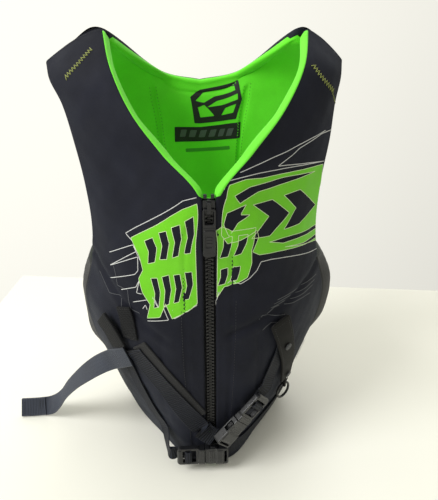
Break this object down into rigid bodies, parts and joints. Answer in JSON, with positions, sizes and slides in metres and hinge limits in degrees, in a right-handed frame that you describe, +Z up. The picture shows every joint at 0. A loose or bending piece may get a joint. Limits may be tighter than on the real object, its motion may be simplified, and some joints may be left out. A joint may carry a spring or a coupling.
{
  "type": "youth buoyancy vest",
  "caption": "Sleeveless neoprene buoyancy vest with a front zip, two buckled waist belts, a loose strap end, a lanyard ring and a bright lining.",
  "frame": {"origin": "centre of the bounding box's underside, on the surface the hem stands on", "axes": "+Z up from hem to shoulders, -Y out of the zipped front, +X towards the wearer's left (the viewer's right); node names use the wearer's right and left"},
  "size_m": [0.4218, 0.2503, 0.497],
  "materials": {
    "neoprene_black": "matte jersey-faced neoprene",
    "lining_green": "bright green jersey",
    "foam": "closed-cell foam, plain",
    "side_stretch": "ribbed stretch neoprene",
    "webbing_black": "woven belt webbing",
    "webbing_grey": "woven belt webbing, greyer free end",
    "zip_tape": "woven tape",
    "zip_plastic": "satin moulded plastic",
    "buckle_plastic": "satin black acetal",
    "snap_black": "satin cap",
    "ring_plastic": "glossy black",
    "patch_dark": "textured patch",
    "coated_black": "coated fabric",
    "label_white": "white woven label, blank"
  },
  "bodies": {
    "vest": {"back_cover": "neoprene_black", "back_foam_centre": "foam", "back_foam_left": "foam", "back_foam_right": "foam", "back_lining": "lining_green", "care_label": "label_white", "left_front_cover": "neoprene_black", "left_front_foam": "foam", "left_front_lining": "lining_green", "left_keeper": "coated_black", "left_keeper_snap_lower": "snap_black", "left_keeper_snap_upper": "snap_black", "left_side_panel": "side_stretch", "lower_belt_left": "webbing_black", "lower_belt_right": "webbing_black", "lower_buckle_socket": "buckle_plastic", "right_belt_tab": "patch_dark", "right_front_cover": "neoprene_black", "right_front_foam": "foam", "right_front_lining": "lining_green", "right_keeper": "patch_dark", "right_side_panel": "side_stretch", "ring_tab": "coated_black", "upper_belt_left": "webbing_black", "upper_belt_right": "webbing_black", "upper_belt_tail": "webbing_grey", "upper_buckle_socket": "buckle_plastic", "zip_backing_flap": "lining_green", "zip_insertion_pin": "zip_plastic", "zip_retainer_box": "zip_plastic", "zip_tape_left": "zip_tape", "zip_tape_right": "zip_tape", "zip_teeth_left": "zip_plastic", "zip_teeth_right": "zip_plastic", "zip_top_stop_left": "zip_plastic", "zip_top_stop_right": "zip_plastic"},
    "zip_slider": {"zip_slider": "zip_plastic"},
    "zip_pull": {"zip_pull": "zip_plastic"},
    "upper_plug": {"upper_buckle_plug": "buckle_plastic"},
    "upper_arm_a": {"upper_buckle_arm_a": "buckle_plastic"},
    "upper_arm_b": {"upper_buckle_arm_b": "buckle_plastic"},
    "lower_plug": {"lower_buckle_plug": "buckle_plastic"},
    "lower_arm_a": {"lower_buckle_arm_a": "buckle_plastic"},
    "lower_arm_b": {"lower_buckle_arm_b": "buckle_plastic"},
    "ring": {"lanyard_ring": "ring_plastic"}
  },
  "joints": [
    {"name": "zip_slide", "type": "slide", "parent": "vest", "child": "zip_slider", "axis": [0, 0, -1], "range_m": [0, 0.2], "deforming": ["zip_teeth_right", "zip_teeth_left"]},
    {"name": "zip_pull_swing", "type": "hinge", "parent": "zip_slider", "child": "zip_pull", "pos_m": [0.05216, -0.102, 0.3416], "axis": [-1, 0, 0], "range_deg": [0, 150]},
    {"name": "upper_buckle_release", "type": "slide", "parent": "vest", "child": "upper_plug", "axis": [0.7095, 0.2925, 0.6411], "range_m": [0, 0.024], "deforming": ["upper_belt_left", "upper_buckle_arm_a", "upper_buckle_arm_b"]},
    {"name": "upper_arm_a_squeeze", "type": "hinge", "parent": "upper_plug", "child": "upper_arm_a", "pos_m": [0.08336, -0.1079, 0.08125], "axis": [0.4586, -0.8825, -0.1049], "range_deg": [0, 10], "stiffness_Nm_per_rad": 0.35},
    {"name": "upper_arm_b_squeeze", "type": "hinge", "parent": "upper_plug", "child": "upper_arm_b", "pos_m": [0.09117, -0.10252, 0.07015], "axis": [-0.4586, 0.8825, 0.1049], "range_deg": [0, 10], "stiffness_Nm_per_rad": 0.35},
    {"name": "lower_buckle_release", "type": "slide", "parent": "vest", "child": "lower_plug", "axis": [-1, 0, 0], "range_m": [0, 0.022], "deforming": ["lower_belt_right", "lower_buckle_arm_a", "lower_buckle_arm_b"]},
    {"name": "lower_arm_a_squeeze", "type": "hinge", "parent": "lower_plug", "child": "lower_arm_a", "pos_m": [0.04401, -0.10775, 0.0197], "axis": [0, -1, 0], "range_deg": [0, 10], "stiffness_Nm_per_rad": 0.35},
    {"name": "lower_arm_b_squeeze", "type": "hinge", "parent": "lower_plug", "child": "lower_arm_b", "pos_m": [0.04401, -0.10775, 0.0343], "axis": [0, 1, 0], "range_deg": [0, 10], "stiffness_Nm_per_rad": 0.35},
    {"name": "lanyard_ring_swing", "type": "hinge", "parent": "vest", "child": "ring", "pos_m": [0.14966, -0.04755, 0.0783], "axis": [-0.8, -0.6, 0], "range_deg": [-8, 75]}
  ]
}
